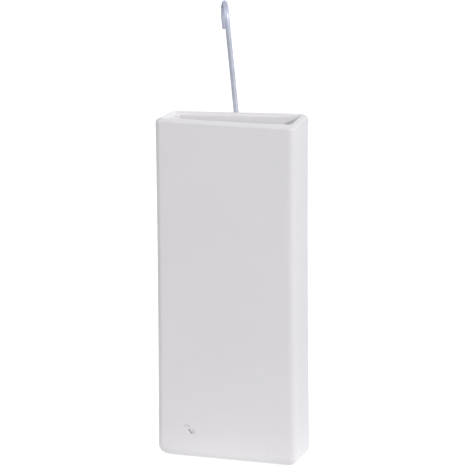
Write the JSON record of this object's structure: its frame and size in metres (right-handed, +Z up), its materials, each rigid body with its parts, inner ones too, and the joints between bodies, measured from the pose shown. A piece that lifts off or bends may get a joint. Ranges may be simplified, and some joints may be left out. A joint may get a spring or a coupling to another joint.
{
  "type": "radiator humidifier",
  "caption": "Flat, tall, open-topped white glazed ceramic water vessel that hangs on a radiator by a bent steel wire hook passed through a hole in its back wall.",
  "frame": {"origin": "centre of the vessel's flat base, on the surface it stands on", "axes": "+X along the vessel's width, +Y from the front face to the back face and the radiator behind it, +Z up, from the base to the open rim and the hook"},
  "size_m": [0.0756, 0.0437, 0.2355],
  "materials": {
    "white_glaze": "satin",
    "zinc_wire": "satin"
  },
  "bodies": {
    "vessel": {"vessel": "white_glaze"},
    "hook": {"hook": "zinc_wire"}
  },
  "joints": [
    {"name": "hook_swing", "type": "hinge", "parent": "vessel", "child": "hook", "pos_m": [0, 0.01075, 0.1602], "axis": [0, 1, 0], "continuous": true}
  ]
}
